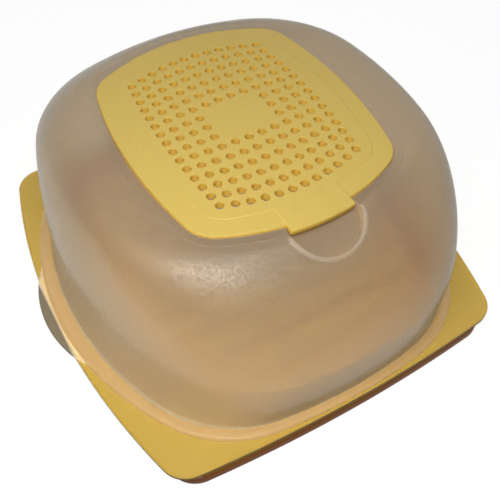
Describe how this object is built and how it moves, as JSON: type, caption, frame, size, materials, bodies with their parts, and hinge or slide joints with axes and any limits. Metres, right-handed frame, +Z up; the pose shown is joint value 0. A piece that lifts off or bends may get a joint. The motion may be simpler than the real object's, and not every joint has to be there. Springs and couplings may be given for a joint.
{
  "type": "cheese storage container",
  "caption": "Square cheese keeper: a shallow tray under a tall frosted cover whose crown holds a lift-out vent grille over a breathable film.",
  "frame": {"origin": "middle of the tray's underside, on the surface that the keeper stands on", "axes": "+Z up; -Y is the front, where the vent's lift tab and the thumb recess are; +X is the right side seen from the front, and the cover's two lift tabs point along -X and +X"},
  "size_m": [0.2706, 0.2682, 0.125],
  "materials": {
    "tray_plastic": "smooth yellow moulded plastic with a soft gloss",
    "frosted_plastic": "frosted translucent plastic, fine grained, semi-gloss",
    "vent_plastic": "yellow moulded plastic with a satin surface",
    "frame_plastic": "yellow moulded plastic, satin",
    "film": "thin grey breathable film"
  },
  "bodies": {
    "tray": {"base_tray": "tray_plastic"},
    "cover": {"dome_cover": "frosted_plastic"},
    "vent": {"vent_grille": "vent_plastic"},
    "membrane": {"membrane_frame": "frame_plastic", "breathable_membrane": "film"}
  },
  "joints": [
    {"name": "cover_lift", "type": "slide", "parent": "tray", "child": "cover", "axis": [0, 0, 1], "range_m": [0, 0.13]},
    {"name": "grille_lift", "type": "slide", "parent": "cover", "child": "vent", "axis": [0, 0, 1], "range_m": [0, 0.04]},
    {"name": "membrane_release", "type": "slide", "parent": "vent", "child": "membrane", "axis": [0, 0, -1], "range_m": [0, 0.03]}
  ]
}
